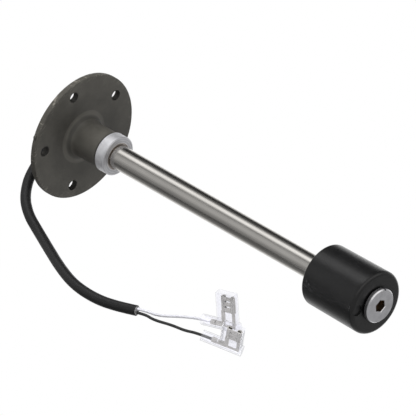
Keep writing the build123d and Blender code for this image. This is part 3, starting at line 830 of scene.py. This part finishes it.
def add_card():
    """Bright card low in front, for the gleam on the bevels of the plug."""
    card_distance, card_width, card_depth = 0.45, 0.90, 0.20
    back = direction(azimuth=40.0, elevation=-45.0)
    shape = bmesh.new()
    bmesh.ops.create_grid(shape, x_segments=1, y_segments=1, size=0.5)
    bmesh.ops.scale(shape, vec=(card_width, card_depth, 1), verts=shape.verts)
    turn = back.to_track_quat("Z", "Y").to_matrix().to_4x4()
    spot = Vector((0, 0, PLUG_LOW.z)) + back * card_distance
    bmesh.ops.transform(shape, matrix=Matrix.Translation(spot) @ turn, verts=shape.verts)
    mesh = finished_mesh("card", shape)
    mesh.materials.append(card_finish())
    card = new_object("card", mesh)
    keep_to_reflections(card)


def seen_straight(material):
    """1 where the camera looks, also through clear plastic, and 0 for the light's other ways."""
    path = node(material, "LightPath")
    return maths(
        material, "MAXIMUM", path.outputs["Is Camera Ray"], path.outputs["Is Transmission Ray"]
    )


def floor_finish():
    """Pale floor that glows a little towards the camera and can't be seen from below."""
    material, shader = new_material("floor_pale", (0.86, 0.86, 0.86), roughness=0.9)
    shader.inputs["Specular IOR Level"].default_value = 0.0
    behind = node(material, "NewGeometry").outputs["Backfacing"]
    clear = node(material, "BsdfTransparent").outputs["BSDF"]
    shining = glow(material, WHITE_GLOW, FLOOR_GLOW)
    share = times(material, seen_straight(material), FLOOR_GLOW_SHARE)
    pale = node(material, "MixShader", {0: share, 1: shader.outputs["BSDF"], 2: shining})
    mixed = node(material, "MixShader", {0: behind, 1: pale.outputs["Shader"], 2: clear})
    surface = material.node_tree.nodes["Material Output"].inputs["Surface"]
    link(material, mixed.outputs["Shader"], surface)
    return material


def add_floor(stage):
    """Level floor under the hanging sender."""
    floor_half_width = 6.0
    shape = bmesh.new()
    bmesh.ops.create_grid(shape, x_segments=1, y_segments=1, size=floor_half_width)
    level = PLUG_LOW.z - stage.floor_drop
    bmesh.ops.translate(shape, vec=(0, 0, level), verts=shape.verts)
    mesh = finished_mesh("floor", shape)
    mesh.materials.append(floor_finish())
    floor = new_object("floor", mesh)
    floor.visible_shadow = False
    floor.visible_glossy = False


def add_world(fill_level, mirror_level):
    """White surround for the camera and clear plastic, grey for mirrors, an even fill for the rest."""
    world = bpy.data.worlds.new("studio")
    world.use_nodes = True
    bpy.context.scene.world = world
    background = world.node_tree.nodes["Background"]
    background.inputs["Color"].default_value = WHITE_GLOW
    mirrored = node(world, "LightPath").outputs["Is Glossy Ray"]
    unseen = remap(world, mirrored, 0.0, 1.0, fill_level, mirror_level)
    strength = maths(world, "MAXIMUM", unseen, seen_straight(world))
    link(world, strength, background.inputs["Strength"])


class SENDER_OT_stage(bpy.types.Operator):
    """Set up the floor, the lamps, the white surround and the camera"""

    bl_idname = "sender.stage"
    bl_label = "Studio"

    def execute(self, context):
        scene = context.scene
        stage = scene.sender_stage
        add_camera(stage)
        add_floor(stage)
        add_world(stage.fill_level, stage.mirror_level)
        add_lamp(
            "key_lamp", azimuth=28.0, elevation=16.0, distance=0.9, width=0.4, height=0.7, power=10.5
        )
        add_lamp(
            "back_lamp", azimuth=168.0, elevation=-40.0, distance=1.2, width=0.5, height=0.5, power=4.0
        )
        add_lamp(
            "front_lamp", azimuth=-42.0, elevation=-32.0, distance=0.5, width=0.25, height=0.25, power=1.05
        )
        add_tent()
        add_card()
        scene.view_settings.view_transform = "Standard"
        return {"FINISHED"}


STEPS = (
    SENDER_OT_flange,
    SENDER_OT_stem,
    SENDER_OT_float,
    SENDER_OT_inside,
    SENDER_OT_terminals,
    SENDER_OT_cable,
    SENDER_OT_stage,
)
GROUPS = {
    "sender_finish": SenderFinish,
    "sender_cable": SenderCable,
    "sender_stage": SenderStage,
}


class SENDER_PT_panel(bpy.types.Panel):
    """The sender's settings and steps"""

    bl_idname = "SENDER_PT_panel"
    bl_label = "Fuel level sender"
    bl_space_type = "VIEW_3D"
    bl_region_type = "UI"
    bl_category = "Sender"

    def draw(self, context):
        column = self.layout.column()
        for name, group in GROUPS.items():
            settings = getattr(context.scene, name)
            for setting in group.__annotations__:
                column.prop(settings, setting)
        for step in STEPS:
            column.operator(step.bl_idname)


def register():
    """Makes the settings, steps and panel known."""
    for name, group in GROUPS.items():
        bpy.utils.register_class(group)
        setattr(bpy.types.Scene, name, PointerProperty(type=group))
    for step in (*STEPS, SENDER_PT_panel):
        bpy.utils.register_class(step)


def unregister():
    """Takes them away again."""
    for step in (SENDER_PT_panel, *reversed(STEPS)):
        bpy.utils.unregister_class(step)
    for name, group in GROUPS.items():
        delattr(bpy.types.Scene, name)
        bpy.utils.unregister_class(group)


def main():
    """Dresses the sender and sets up its studio."""
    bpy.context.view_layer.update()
    register()
    bpy.ops.sender.flange()
    bpy.ops.sender.stem()
    bpy.ops.sender.float()
    bpy.ops.sender.inside()
    bpy.ops.sender.terminals()
    bpy.ops.sender.cable()
    bpy.ops.sender.stage()


if __name__ == "__main__":
    main()
